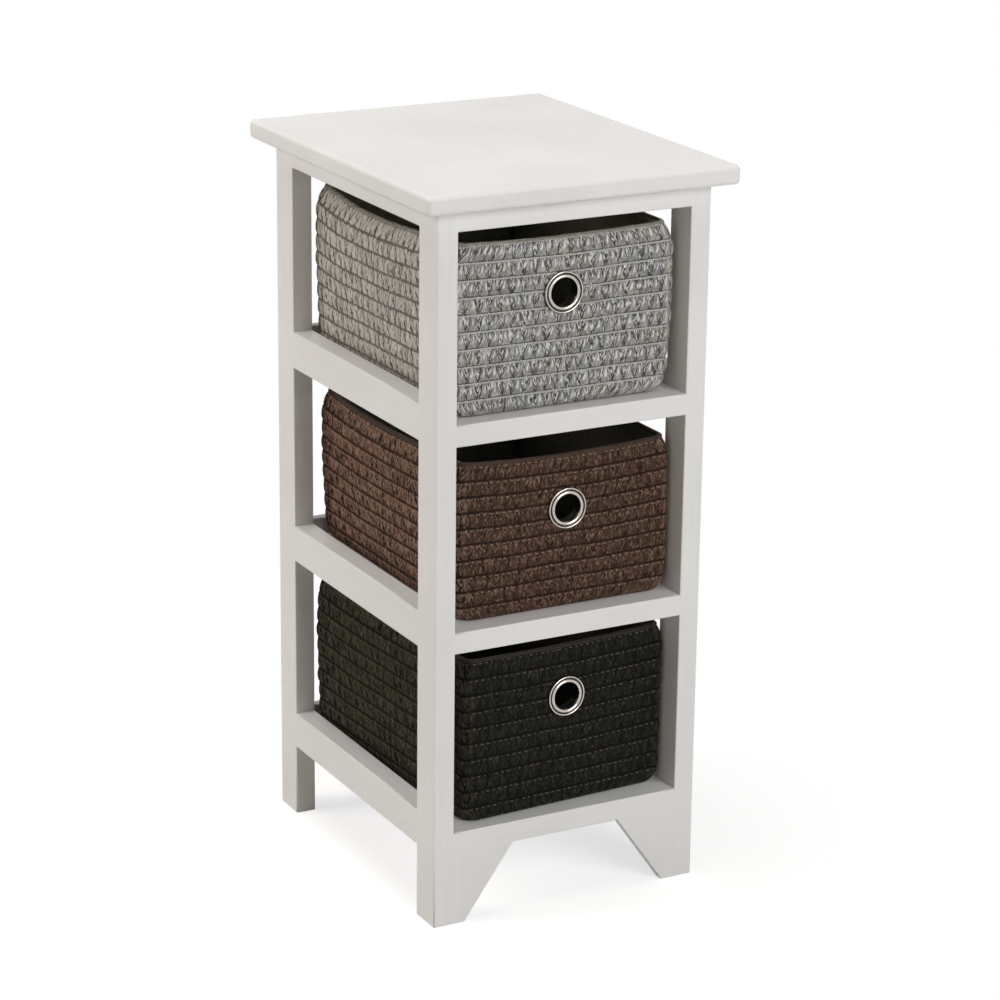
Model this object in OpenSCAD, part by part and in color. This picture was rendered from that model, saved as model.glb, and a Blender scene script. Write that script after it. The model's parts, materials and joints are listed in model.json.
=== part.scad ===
// Bathroom storage tower: a white post-and-rail frame with three open bays,
// and a braided basket that pulls out of each. Millimetres. +X is the right side
// as one faces the tower, +Y is the back, +Z is up. The origin is on the floor,
// under the middle of the top board.

/* [Frame] */
// Width over the posts, side to side
frame_w = 231; // [210:1:320]
// Depth over the posts, front to back
frame_d = 281; // [240:1:400]
// Height of the bottom rails above the floor
foot_h = 59; // [45:1:120]
// Clear height of each bay at the front
bay_h = 146; // [130:1:220]

/* [Timber] */
// Thickness of the posts, the rails and the front rails' faces
stock_t = 17; // [16:0.5:22]
// Width of the posts from front to back, and of the flat rails
stock_w = 30; // [28:1:40]
// Height of the side and back rails under the baskets
rail_h = 30; // [27:1:45]
// Thickness of the back rails and of the foot brackets
thin_t = 9; // [8:0.5:12]
// How far the back rails lie in from the rear face of the posts
back_inset = 10.5; // [8:0.5:12]
// Radius of the eased outer edges
eased_r = 1.2; // [0.5:0.1:2]

/* [Top board] */
// Thickness of the top board
board_t = 15; // [14:0.5:25]
// How far the board passes the posts on every side
overhang = 16; // [6:1:30]
// Radius of the board's long edges, above and below
board_edge_r = 5; // [2:0.5:6.5]
// Radius of the board's corners, seen from above
board_corner_r = 4; // [2:0.5:12]

/* [Front feet] */
// Width of a front foot at the floor
foot_w = 27; // [24:1:50]
// Width of a front foot where it meets the bottom rail
foot_top_w = 69; // [60:1:90]

/* [Shelves] */
// Thickness of the shelf panels
shelf_t = 6; // [4:0.5:9]
// Width of the cleats that carry the panels
cleat_w = 12; // [10:1:20]
// Joint gap between a shelf panel and the rails around it
shelf_gap = 0.25; // [0.1:0.05:0.6]

/* [Fixings] */
// Diameter of the frame dowels
dowel_d = 6; // [5:0.5:7]
// Depth of a frame dowel in the post
dowel_in_post = 11; // [8:0.5:12]
// Depth of a frame dowel in the rail
dowel_in_rail = 19; // [14:1:30]
// Distance between the two dowels at one rail end
dowel_pitch = 16; // [12:1:18]
// Distance of the front rails' dowels behind the front face
front_dowel_set = 9.5; // [8:0.5:11]
// Diameter of the back rails' dowels
back_dowel_d = 5; // [4:0.5:5.5]
// Diameter of the foot brackets' dowels
bracket_dowel_d = 4; // [3:0.5:5]
// Length of a foot bracket's dowel, half in each piece
bracket_dowel_l = 16; // [12:1:18]
// Radial glue gap around a dowel or a screw
glue_gap = 0.05; // [0.02:0.01:0.1]
// Shank diameter of the screws
screw_d = 3.5; // [3:0.5:4.5]
// Head diameter of the screws
screw_head_d = 7; // [6:0.5:8.5]
// Height of a countersunk head
screw_head_h = 2.4; // [2:0.1:3]
// How far the top screws bite into the board
screw_bite = 8; // [6:0.5:11]
// How far the cleat screws bite into the side rails
cleat_screw_bite = 9; // [6:0.5:14]
// Distance of each screw from the middle of its rail
screw_spread = 72; // [40:1:80]

/* [Baskets] */
// Gap between a centred basket and the post beside it
basket_side_gap = 7.5; // [6:0.5:20]
// Gap between each rim and the rail above it: upper, middle, bottom
basket_headroom = [14, 21, 13]; // [6:1:60]
// Gap between the rearmost basket and the back rail
basket_rear_gap = 1.5; // [1:0.5:20]
// How far each basket stands behind the front: upper, middle, bottom
basket_setback = [13, 16, 10]; // [8:1:40]
// How far each basket stands to the right: upper, middle, bottom
basket_shift = [-3, 5, 0]; // [-5:1:5]
// How far each basket's front stands to the right of its back: upper, middle, bottom
basket_lean = [0, 0, 13.5]; // [0:0.5:14]
// Gap under a resting basket
seat_gap = 0.3; // [0.2:0.1:1]
// Number of braid bands, one above another
band_count = 10; // [6:1:14]
// How far each band swells past the seams beside it
band_swell = 1.2; // [0.6:0.1:1.6]
// Thickness of the wall at its fullest band
wall_t = 5.5; // [5:0.5:8]
// How far the wall draws in at the rim and at the base
draw_in = 2; // [0.5:0.5:2.5]
// Outer radius of the basket's corners
basket_corner_r = 10; // [10:1:30]
// Thickness of the braided base
base_t = 5; // [4:0.5:8]
// Thickness of the stiff board on the base
base_board_t = 2; // [1.5:0.5:4]
// Gap between that board and the walls
base_board_gap = 1; // [0.5:0.5:3]
// Thickness of the lining
lining_t = 1; // [0.8:0.1:1.5]
// Height of the rim binding
binding_h = 2.5; // [2:0.5:4]

/* [Eyelets] */
// Diameter of the finger hole
eyelet_hole_d = 22; // [18:0.5:26]
// Width of the rolled flange around the hole
eyelet_flange_w = 5.25; // [4:0.25:6]
// How far the flange stands out
eyelet_flange_h = 2; // [1.5:0.1:2.5]
// Wall of the barrel
eyelet_barrel_t = 0.8; // [0.6:0.1:1.2]
// Depth of the eyelet's centre below the rim: upper, middle and bottom basket
eyelet_drop = [44, 45, 43]; // [32:1:60]
// Radial gap between the barrel and the hole in the wall
eyelet_gap = 0.1; // [0.05:0.05:0.5]
// Thickness of the washer inside the basket
washer_t = 1; // [0.8:0.1:1.5]
// Width of the lip that is set over the washer
lip_w = 1.4; // [1:0.1:1.8]

/* [Hidden] */
$fn = 64;

// Rail levels, counted from the floor
BOTTOM = 0;
MIDDLE = 1;
UPPER = 2;
TOP = 3;
SHELF_LEVELS = [BOTTOM, MIDDLE, UPPER];
ALL_LEVELS = [BOTTOM, MIDDLE, UPPER, TOP];

// Sides and ends, as signs along X and Y
LEFT = -1;
RIGHT = 1;
FRONT = -1;
REAR = 1;

half_w = frame_w / 2;
half_d = frame_d / 2;
inner_half_w = half_w - stock_t;
side_rail_l = frame_d - 2 * stock_w;
function rail_z(level) = foot_h + level * (bay_h + stock_t);
post_h = rail_z(TOP) + stock_t;

// The two dowels of a tall rail lie either side of its middle; a flat rail has one
function dowel_heights(level) = level == TOP
    ? [rail_z(TOP) + stock_t / 2]
    : [for (side = [-1, 1]) rail_z(level) + rail_h / 2 + side * dowel_pitch / 2];
dowel_l = dowel_in_post + dowel_in_rail;
// Spare depth at each end of a blind dowel or screw hole
blind_gap = 0.5;
front_dowel_y = -half_d + front_dowel_set;
back_rail_y = half_d - back_inset - thin_t;
back_dowel_y = back_rail_y + thin_t / 2;

// Foot brackets, named on the left: the slant runs from the floor to the rail
bracket_x = -inner_half_w;
bracket_y = -half_d + thin_t / 2;
bracket_floor_x = -half_w + foot_w;
bracket_top_x = -half_w + foot_top_w;
bracket_dowel_z = foot_h / 3;
bracket_dowel_x = bracket_x + (foot_top_w - stock_t) / 2;

bay_d = back_rail_y + half_d;
shelf_depth = bay_d - stock_w;
cleat_h = stock_t - shelf_t;
top_screw_x = half_w - stock_w * 0.7;
screw_tip_h = screw_d / 2;

// Each basket's place in the lists above, and its turn as seen from above
BASKETS = [0, 1, 2];
function basket_index(level) = UPPER - level;
function turn(basket) = asin(basket_lean[basket] / bay_d);

// Baskets, in their own frame: the origin is under the middle of the base.
// A turned basket takes more of the bay's depth, and all three are of one depth.
basket_w = 2 * (inner_half_w - basket_side_gap);
basket_straight_w = basket_w - 2 * basket_corner_r;
function depth_taken(basket) = basket_setback[basket] + basket_straight_w * sin(turn(basket));
basket_d = bay_d - basket_rear_gap - max([for (basket = BASKETS) depth_taken(basket)]);
basket_straight_d = basket_d - 2 * basket_corner_r;
function turned_d(basket) = basket_straight_d * cos(turn(basket))
    + basket_straight_w * sin(turn(basket)) + 2 * basket_corner_r;

function basket_h(level) = bay_h - basket_headroom[basket_index(level)];
function wall_h(level) = basket_h(level) - binding_h;
function band_h(level) = wall_h(level) / band_count;
function eyelet_z(level) = basket_h(level) - eyelet_drop[basket_index(level)];
inner_corner_r = basket_corner_r - wall_t;
lining_corner_r = inner_corner_r - lining_t;
basket_inner_w = basket_w - 2 * wall_t;
basket_inner_d = basket_d - 2 * wall_t;
lining_z = base_t + base_board_t;

// A band's outer face is an arc that rises by band_swell over the band's height
function band_arc_r(level) = (pow(band_h(level) / 2, 2) + pow(band_swell, 2)) / (2 * band_swell);
function band_height_share(band) = 2 * (band + 0.5) / band_count - 1;
function band_crest(band) = basket_corner_r - draw_in * pow(band_height_share(band), 2);

eyelet_hole_r = eyelet_hole_d / 2;
barrel_r = eyelet_hole_r + eyelet_barrel_t;
wall_hole_r = barrel_r + eyelet_gap;
washer_r = eyelet_hole_r + eyelet_flange_w;
flange_arc_r = (pow(eyelet_flange_w / 2, 2) + pow(eyelet_flange_h, 2)) / (2 * eyelet_flange_h);
wall_stack = wall_t + lining_t;

white_paint = [0.90, 0.89, 0.87];
raw_wood = [0.78, 0.66, 0.48];
zinc = [0.72, 0.72, 0.70];
nickel = [0.80, 0.79, 0.77];
board_brown = [0.55, 0.45, 0.34];
dark_lining = [0.16, 0.13, 0.11];
grey_braid = [0.58, 0.58, 0.57];
brown_braid = [0.30, 0.21, 0.18];
black_braid = [0.13, 0.13, 0.12];

// ---- shapes that more than one piece uses ----

// A bar's section from 0,0 to size, with the listed corners rounded.
// Corner [0, 0] is the low one on both axes, [1, 1] the high one.
module eased_section(size, corners, radius = eased_r) {
    difference() {
        square(size);
        for (corner = corners) {
            x = corner[0] * (size[0] - radius);
            y = corner[1] * (size[1] - radius);
            round_x = corner[0] == 0 ? radius : size[0] - radius;
            round_y = corner[1] == 0 ? radius : size[1] - radius;
            difference() {
                translate([x, y]) square(radius);
                translate([round_x, round_y]) circle(radius);
            }
        }
    }
}

// A rectangle about the origin with round corners
module round_rect(size, radius) {
    square([size[0] - 2 * radius, size[1]], center = true);
    square([size[0], size[1] - 2 * radius], center = true);
    for (x = [-1, 1], y = [-1, 1]) {
        translate([x * (size[0] / 2 - radius), y * (size[1] / 2 - radius)]) circle(radius);
    }
}

// A section drawn in Y and Z, run along X about the middle
module along_x(length) {
    rotate([90, 0, 90]) linear_extrude(length, center = true) children();
}

// A section drawn in X and Z, run along Y about the middle
module along_y(length) {
    rotate([90, 0, 0]) linear_extrude(length, center = true) children();
}

// Puts a piece drawn at the left or the front on the other side as well
module on_side(side) {
    mirror([side == RIGHT ? 1 : 0, 0, 0]) children();
}

module on_end(end) {
    mirror([0, end == REAR ? 1 : 0, 0]) children();
}

module dowel(diameter, length, gap = 0) {
    cylinder(d = diameter + 2 * gap, h = length + (gap > 0 ? 2 * blind_gap : 0), center = true);
}

// Dowels that run along X out of the inner face of a left or right post
module x_dowels(diameter, y, heights, gap = 0) {
    middle = inner_half_w - (dowel_in_rail - dowel_in_post) / 2;
    for (side = [LEFT, RIGHT], z = heights) {
        translate([side * middle, y, z]) rotate([0, 90, 0]) dowel(diameter, dowel_l, gap);
    }
}

module front_dowels(level, gap = 0) {
    x_dowels(dowel_d, front_dowel_y, [rail_z(level) + stock_t / 2], gap);
}

module back_dowels(level, gap = 0) {
    x_dowels(back_dowel_d, back_dowel_y, dowel_heights(level), gap);
}

// Dowels that run along Y out of the posts of one side into a side rail
module side_dowels(side, level, gap = 0) {
    middle = side_rail_l / 2 - (dowel_in_rail - dowel_in_post) / 2;
    for (end = [FRONT, REAR], z = dowel_heights(level)) {
        translate([side * (half_w - stock_t / 2), end * middle, z])
            rotate([90, 0, 0]) dowel(dowel_d, dowel_l, gap);
    }
}

module left_bracket_dowels(gap = 0) {
    translate([bracket_x, bracket_y, bracket_dowel_z])
        rotate([0, 90, 0]) dowel(bracket_dowel_d, bracket_dowel_l, gap);
    translate([bracket_dowel_x, bracket_y, foot_h]) dowel(bracket_dowel_d, bracket_dowel_l, gap);
}

// A countersunk wood screw along +Z, its head's flat face at z = 0
module screw(length, gap = 0) {
    cylinder(d1 = screw_head_d + 2 * gap, d2 = screw_d + 2 * gap, h = screw_head_h);
    translate([0, 0, screw_head_h - 0.01])
        cylinder(d = screw_d + 2 * gap, h = length - screw_head_h + 0.01 + (gap > 0 ? blind_gap : 0));
    if (gap == 0) {
        translate([0, 0, length - 0.01]) cylinder(d1 = screw_d, d2 = screw_d / 3, h = screw_tip_h);
    }
}

// The cross slot in a screw's head
module drive_slot() {
    slot = [screw_head_d * 0.55, screw_head_d * 0.13, screw_head_h];
    for (quarter = [0, 90]) {
        rotate([0, 0, quarter]) cube(slot, center = true);
    }
}

module slotted_screw(length) {
    difference() {
        screw(length);
        drive_slot();
    }
}

module at_top_screws(side) {
    for (end = [FRONT, REAR]) {
        translate([side * top_screw_x, end * screw_spread, rail_z(TOP)]) children();
    }
}

module at_cleat_screws(side, level) {
    for (end = [FRONT, REAR]) {
        translate([side * (inner_half_w - cleat_w), end * screw_spread, rail_z(level) + cleat_h / 2])
            rotate([0, side * 90, 0]) children();
    }
}

top_screw_l = stock_t + screw_bite;
cleat_screw_l = cleat_w + cleat_screw_bite;
// A tip keeps this far from the end of its pilot hole
pilot_gap = screw_tip_h + blind_gap;

// ---- frame ----

module board_solid() {
    w = frame_w + 2 * overhang;
    d = frame_d + 2 * overhang;
    all_corners = [[0, 0], [1, 0], [1, 1], [0, 1]];
    intersection() {
        along_x(w) translate([-d / 2, 0]) eased_section([d, board_t], all_corners, board_edge_r);
        along_y(d) translate([-w / 2, 0]) eased_section([w, board_t], all_corners, board_edge_r);
        linear_extrude(board_t) round_rect([w, d], board_corner_r);
    }
}

module top_board() {
    color(white_paint) difference() {
        translate([0, 0, post_h]) board_solid();
        for (side = [LEFT, RIGHT]) {
            at_top_screws(side) screw(top_screw_l + pilot_gap, glue_gap);
        }
    }
}

module post(side, end) {
    color(white_paint) difference() {
        on_side(side) on_end(end)
            translate([-half_w, -half_d, 0])
            linear_extrude(post_h) eased_section([stock_t, stock_w], [[0, 0]]);
        for (level = ALL_LEVELS) {
            side_dowels(side, level, glue_gap);
            if (end == FRONT) {
                front_dowels(level, glue_gap);
            }
            if (end == REAR) {
                back_dowels(level, glue_gap);
            }
        }
        if (end == FRONT) {
            on_side(side) left_bracket_dowels(glue_gap);
        }
    }
}

module left_front_post() { post(LEFT, FRONT); }
module right_front_post() { post(RIGHT, FRONT); }
module left_rear_post() { post(LEFT, REAR); }
module right_rear_post() { post(RIGHT, REAR); }

// A flat rail whose face shows between the front posts
module front_rail(level) {
    color(white_paint) difference() {
        translate([0, -half_d, rail_z(level)])
            along_x(2 * inner_half_w) eased_section([stock_w, stock_t], [[0, 0], [0, 1]]);
        front_dowels(level, glue_gap);
        if (level == BOTTOM) {
            for (side = [LEFT, RIGHT]) {
                on_side(side) left_bracket_dowels(glue_gap);
            }
        }
    }
}

module top_front_rail() { front_rail(TOP); }
module upper_front_rail() { front_rail(UPPER); }
module middle_front_rail() { front_rail(MIDDLE); }
module bottom_front_rail() { front_rail(BOTTOM); }

module foot_bracket(side) {
    outline = [
        [bracket_x, 0],
        [bracket_floor_x, 0],
        [bracket_top_x, foot_h],
        [bracket_x, foot_h],
    ];
    color(white_paint) on_side(side) difference() {
        translate([0, bracket_y, 0]) along_y(thin_t) polygon(outline);
        left_bracket_dowels(glue_gap);
    }
}

module left_foot_bracket() { foot_bracket(LEFT); }
module right_foot_bracket() { foot_bracket(RIGHT); }

// Side rails stand on edge, except the top one, which lies flat under the board
module side_rail(side, level) {
    size = level == TOP ? [stock_w, stock_t] : [stock_t, rail_h];
    eased = level == TOP ? [[0, 0]] : [[0, 0], [0, 1]];
    color(white_paint) difference() {
        on_side(side) translate([-half_w, 0, rail_z(level)])
            along_y(side_rail_l) eased_section(size, eased);
        side_dowels(side, level, glue_gap);
        if (level == TOP) {
            at_top_screws(side) screw(top_screw_l + pilot_gap, glue_gap);
        } else {
            at_cleat_screws(side, level) screw(cleat_screw_l + pilot_gap, glue_gap);
        }
    }
}

module left_top_rail() { side_rail(LEFT, TOP); }
module left_upper_rail() { side_rail(LEFT, UPPER); }
module left_middle_rail() { side_rail(LEFT, MIDDLE); }
module left_bottom_rail() { side_rail(LEFT, BOTTOM); }
module right_top_rail() { side_rail(RIGHT, TOP); }
module right_upper_rail() { side_rail(RIGHT, UPPER); }
module right_middle_rail() { side_rail(RIGHT, MIDDLE); }
module right_bottom_rail() { side_rail(RIGHT, BOTTOM); }

module back_rail(level) {
    height = level == TOP ? stock_t : rail_h;
    color(white_paint) difference() {
        translate([0, back_rail_y, rail_z(level)])
            along_x(2 * inner_half_w) eased_section([thin_t, height], [[1, 0], [1, 1]]);
        back_dowels(level, glue_gap);
    }
}

module top_back_rail() { back_rail(TOP); }
module upper_back_rail() { back_rail(UPPER); }
module middle_back_rail() { back_rail(MIDDLE); }
module bottom_back_rail() { back_rail(BOTTOM); }

// ---- shelves ----

module shelf(level) {
    low = [-inner_half_w + shelf_gap, -half_d + stock_w + shelf_gap, rail_z(level) + cleat_h];
    size = [2 * (inner_half_w - shelf_gap), shelf_depth - 2 * shelf_gap, shelf_t];
    color(white_paint) translate(low) cube(size);
}

module upper_shelf() { shelf(UPPER); }
module middle_shelf() { shelf(MIDDLE); }
module bottom_shelf() { shelf(BOTTOM); }

module cleat(side, level) {
    color(white_paint) difference() {
        on_side(side) translate([-inner_half_w, -side_rail_l / 2, rail_z(level)])
            cube([cleat_w, side_rail_l, cleat_h]);
        at_cleat_screws(side, level) screw(cleat_screw_l + pilot_gap, glue_gap);
    }
}

module left_upper_cleat() { cleat(LEFT, UPPER); }
module left_middle_cleat() { cleat(LEFT, MIDDLE); }
module left_bottom_cleat() { cleat(LEFT, BOTTOM); }
module right_upper_cleat() { cleat(RIGHT, UPPER); }
module right_middle_cleat() { cleat(RIGHT, MIDDLE); }
module right_bottom_cleat() { cleat(RIGHT, BOTTOM); }

// ---- fixings ----

module front_rail_dowels() {
    color(raw_wood) for (level = ALL_LEVELS) {
        front_dowels(level);
    }
}

module side_rail_dowels() {
    color(raw_wood) for (side = [LEFT, RIGHT], level = ALL_LEVELS) {
        side_dowels(side, level);
    }
}

module back_rail_dowels() {
    color(raw_wood) for (level = ALL_LEVELS) {
        back_dowels(level);
    }
}

module bracket_dowels() {
    color(raw_wood) for (side = [LEFT, RIGHT]) {
        on_side(side) left_bracket_dowels();
    }
}

module top_screws() {
    color(zinc) for (side = [LEFT, RIGHT]) {
        at_top_screws(side) slotted_screw(top_screw_l);
    }
}

module cleat_screws() {
    color(zinc) for (side = [LEFT, RIGHT], level = SHELF_LEVELS) {
        at_cleat_screws(side, level) slotted_screw(cleat_screw_l);
    }
}

// ---- baskets ----

module at_basket(level) {
    basket = basket_index(level);
    y = -half_d + basket_setback[basket] + turned_d(basket) / 2;
    translate([basket_shift[basket], y, rail_z(level) + stock_t + seat_gap])
        rotate([0, 0, turn(basket)]) children();
}

// Runs a wall's section once round the basket. The section is drawn outwards
// from the axis of a corner, so that a corner is the same section turned.
module basket_ring() {
    corner_x = basket_straight_w / 2;
    corner_y = basket_straight_d / 2;
    for (half = [0, 180]) {
        rotate([0, 0, half]) {
            translate([corner_x, 0, 0]) along_y(basket_straight_d) children();
            rotate([0, 0, 90]) translate([corner_y, 0, 0]) along_y(basket_straight_w) children();
            translate([corner_x, corner_y, 0]) rotate_extrude(angle = 90) children();
            rotate([0, 0, 90]) translate([corner_y, corner_x, 0]) rotate_extrude(angle = 90) children();
        }
    }
}

// The hole through the front wall for the eyelet's barrel
module eyelet_hole(level) {
    translate([0, -basket_d / 2, eyelet_z(level)])
        rotate([90, 0, 0]) cylinder(r = wall_hole_r, h = 4 * wall_t, center = true);
}

module wall_section(level) {
    height = band_h(level);
    radius = band_arc_r(level);
    for (band = [0 : band_count - 1]) {
        intersection() {
            translate([band_crest(band) - radius, (band + 0.5) * height]) circle(radius, $fn = 128);
            translate([inner_corner_r, band * height])
                square([band_crest(band) - inner_corner_r, height]);
        }
    }
}

module basket_shell(level) {
    at_basket(level) difference() {
        union() {
            basket_ring() wall_section(level);
            linear_extrude(base_t) round_rect([basket_inner_w, basket_inner_d], inner_corner_r);
        }
        eyelet_hole(level);
    }
}

module base_board(level) {
    size = [basket_inner_w - 2 * base_board_gap, basket_inner_d - 2 * base_board_gap];
    color(board_brown) at_basket(level) translate([0, 0, base_t])
        linear_extrude(base_board_t) round_rect(size, inner_corner_r - base_board_gap);
}

module lining(level) {
    color(dark_lining) at_basket(level) difference() {
        union() {
            basket_ring() translate([lining_corner_r, lining_z])
                square([lining_t, wall_h(level) - lining_z]);
            translate([0, 0, lining_z])
                linear_extrude(lining_t) round_rect([basket_inner_w, basket_inner_d], inner_corner_r);
        }
        eyelet_hole(level);
    }
}

module rim_binding(level) {
    width = band_crest(band_count - 1) - lining_corner_r;
    at_basket(level) basket_ring() translate([lining_corner_r, wall_h(level)])
        eased_section([width, binding_h], [[0, 1], [1, 1]]);
}

// The ring is drawn outwards along +Z: flange, barrel, and the lip set over the washer
module eyelet(level) {
    lip_z = -wall_stack - washer_t;
    color(nickel) at_basket(level) translate([0, -basket_d / 2, eyelet_z(level)])
        rotate([90, 0, 0]) rotate_extrude() {
            intersection() {
                translate([eyelet_hole_r + eyelet_flange_w / 2, eyelet_flange_h - flange_arc_r])
                    circle(flange_arc_r);
                translate([eyelet_hole_r, 0]) square([eyelet_flange_w, eyelet_flange_h]);
            }
            translate([eyelet_hole_r, lip_z]) square([eyelet_barrel_t, -lip_z + eyelet_flange_h / 4]);
            translate([eyelet_hole_r, lip_z - eyelet_barrel_t])
                square([eyelet_barrel_t + lip_w, eyelet_barrel_t]);
        }
}

module eyelet_washer(level) {
    color(nickel) at_basket(level) translate([0, -basket_d / 2, eyelet_z(level)])
        rotate([90, 0, 0]) rotate_extrude() translate([wall_hole_r, -wall_stack - washer_t])
            square([washer_r - wall_hole_r, washer_t]);
}

module grey_basket_shell() { color(grey_braid) basket_shell(UPPER); }
module grey_base_board() { base_board(UPPER); }
module grey_lining() { lining(UPPER); }
module grey_rim_binding() { color(grey_braid) rim_binding(UPPER); }
module grey_eyelet() { eyelet(UPPER); }
module grey_eyelet_washer() { eyelet_washer(UPPER); }
module brown_basket_shell() { color(brown_braid) basket_shell(MIDDLE); }
module brown_base_board() { base_board(MIDDLE); }
module brown_lining() { lining(MIDDLE); }
module brown_rim_binding() { color(brown_braid) rim_binding(MIDDLE); }
module brown_eyelet() { eyelet(MIDDLE); }
module brown_eyelet_washer() { eyelet_washer(MIDDLE); }
module black_basket_shell() { color(black_braid) basket_shell(BOTTOM); }
module black_base_board() { base_board(BOTTOM); }
module black_lining() { lining(BOTTOM); }
module black_rim_binding() { color(black_braid) rim_binding(BOTTOM); }
module black_eyelet() { eyelet(BOTTOM); }
module black_eyelet_washer() { eyelet_washer(BOTTOM); }

top_board();
left_front_post();
right_front_post();
left_rear_post();
right_rear_post();
top_front_rail();
upper_front_rail();
middle_front_rail();
bottom_front_rail();
left_foot_bracket();
right_foot_bracket();
left_top_rail();
left_upper_rail();
left_middle_rail();
left_bottom_rail();
right_top_rail();
right_upper_rail();
right_middle_rail();
right_bottom_rail();
top_back_rail();
upper_back_rail();
middle_back_rail();
bottom_back_rail();
upper_shelf();
middle_shelf();
bottom_shelf();
left_upper_cleat();
left_middle_cleat();
left_bottom_cleat();
right_upper_cleat();
right_middle_cleat();
right_bottom_cleat();
front_rail_dowels();
side_rail_dowels();
back_rail_dowels();
bracket_dowels();
top_screws();
cleat_screws();
grey_basket_shell();
grey_base_board();
grey_lining();
grey_rim_binding();
grey_eyelet();
grey_eyelet_washer();
brown_basket_shell();
brown_base_board();
brown_lining();
brown_rim_binding();
brown_eyelet();
brown_eyelet_washer();
black_basket_shell();
black_base_board();
black_lining();
black_rim_binding();
black_eyelet();
black_eyelet_washer();
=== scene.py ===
"""Looks of the bathroom storage tower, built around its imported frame.

Metres, in the frame's own axes: +X right, -Y front, +Z up, the floor at z = 0.
Painted timbers, braided baskets and eyelets are modelled here and stand for their CAD nodes.
"""

import json
import math
import random
from functools import partial

import bmesh
import bpy
from mathutils import Matrix, Vector, noise


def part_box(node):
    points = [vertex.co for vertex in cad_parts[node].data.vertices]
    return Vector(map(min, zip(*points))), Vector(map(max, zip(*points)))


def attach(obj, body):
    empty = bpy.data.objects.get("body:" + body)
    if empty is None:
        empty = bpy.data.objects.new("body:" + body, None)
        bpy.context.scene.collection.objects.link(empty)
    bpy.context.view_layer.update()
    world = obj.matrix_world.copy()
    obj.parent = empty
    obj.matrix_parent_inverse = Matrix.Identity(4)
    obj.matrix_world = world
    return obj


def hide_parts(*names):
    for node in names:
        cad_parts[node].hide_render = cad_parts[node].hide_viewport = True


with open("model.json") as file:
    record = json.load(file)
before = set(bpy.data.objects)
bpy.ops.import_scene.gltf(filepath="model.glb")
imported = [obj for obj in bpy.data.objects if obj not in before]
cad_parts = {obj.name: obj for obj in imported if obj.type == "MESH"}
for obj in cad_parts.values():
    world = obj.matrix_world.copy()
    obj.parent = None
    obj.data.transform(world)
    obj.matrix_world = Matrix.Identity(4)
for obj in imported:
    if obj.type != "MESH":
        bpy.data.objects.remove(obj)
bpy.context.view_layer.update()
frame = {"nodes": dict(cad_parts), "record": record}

MM = 0.001

# ---- camera ----

CAMERA_PLACE = Vector((-1.1819, -2.2180, 1.1015))
CAMERA_YAW = math.radians(28.33)
CAMERA_DOWN = math.radians(17.89)
CAMERA_ROLL = math.radians(0.69)
CAMERA_LENS = 119.45


def add_camera():
    data = bpy.data.cameras.new("Camera")
    data.sensor_width = 36
    data.lens = CAMERA_LENS
    data.clip_start = 0.1
    data.clip_end = 50
    camera = bpy.data.objects.new("Camera", data)
    bpy.context.scene.collection.objects.link(camera)
    level = Matrix.Rotation(math.pi / 2 - CAMERA_DOWN, 4, "X")
    turned = Matrix.Rotation(-CAMERA_YAW, 4, "Z") @ level
    camera.matrix_world = (
        Matrix.Translation(CAMERA_PLACE) @ turned @ Matrix.Rotation(CAMERA_ROLL, 4, "Z")
    )
    bpy.context.scene.camera = camera


add_camera()
bpy.context.scene.view_settings.view_transform = "Standard"

# ---- shader helpers ----


def add_node(tree, kind, inputs=None, **settings):
    """One shader node. A socket given as an input is linked, anything else is set as its value."""
    made = tree.nodes.new("ShaderNode" + kind)
    for name, value in settings.items():
        setattr(made, name, value)
    for name, value in (inputs or {}).items():
        if isinstance(value, bpy.types.NodeSocket):
            tree.links.new(value, made.inputs[name])
        else:
            made.inputs[name].default_value = value
    return made


def maths(tree, operation, *values, clamp=False):
    inputs = dict(enumerate(values))
    return add_node(tree, "Math", inputs, operation=operation, use_clamp=clamp).outputs[0]


def sum_of(tree, *values):
    total = values[0]
    for value in values[1:]:
        total = maths(tree, "ADD", total, value)
    return total


def product_of(tree, *values):
    total = values[0]
    for value in values[1:]:
        total = maths(tree, "MULTIPLY", total, value)
    return total


def blend_colours(tree, share, low, high, blend_type="MIX"):
    """The colour low where share is 0 and high where it is 1. ADD lays that share of high over low."""
    settings = {"data_type": "RGBA", "blend_type": blend_type, "clamp_factor": True}
    return add_node(tree, "Mix", {0: share, 6: low, 7: high}, **settings).outputs[2]


def ramp(tree, value, low, high):
    """0 at low, 1 at high, and smooth between them."""
    inputs = {"Value": value, "From Min": low, "From Max": high}
    return add_node(tree, "MapRange", inputs, interpolation_type="SMOOTHSTEP").outputs["Result"]


def window(tree, value, low, high, soft):
    """1 between low and high, fading to 0 over the width soft on each side."""
    rises = ramp(tree, value, low - soft, low)
    falls = ramp(tree, value, high, high + soft)
    return maths(tree, "SUBTRACT", rises, falls, clamp=True)


def spread(tree, value, low, high):
    """Takes a value from 0 to 1 to the range from low to high."""
    return add_node(tree, "MapRange", {"Value": value, "To Min": low, "To Max": high}).outputs["Result"]


def noise_at(tree, vector, scale, detail, roughness):
    inputs = {"Vector": vector, "Scale": scale, "Detail": detail, "Roughness": roughness}
    return add_node(tree, "TexNoise", inputs).outputs["Fac"]


# What each group of nodes puts out: the finish of a surface
FINISH = {"Color": "Color", "Roughness": "Float", "Height": "Float"}


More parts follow.
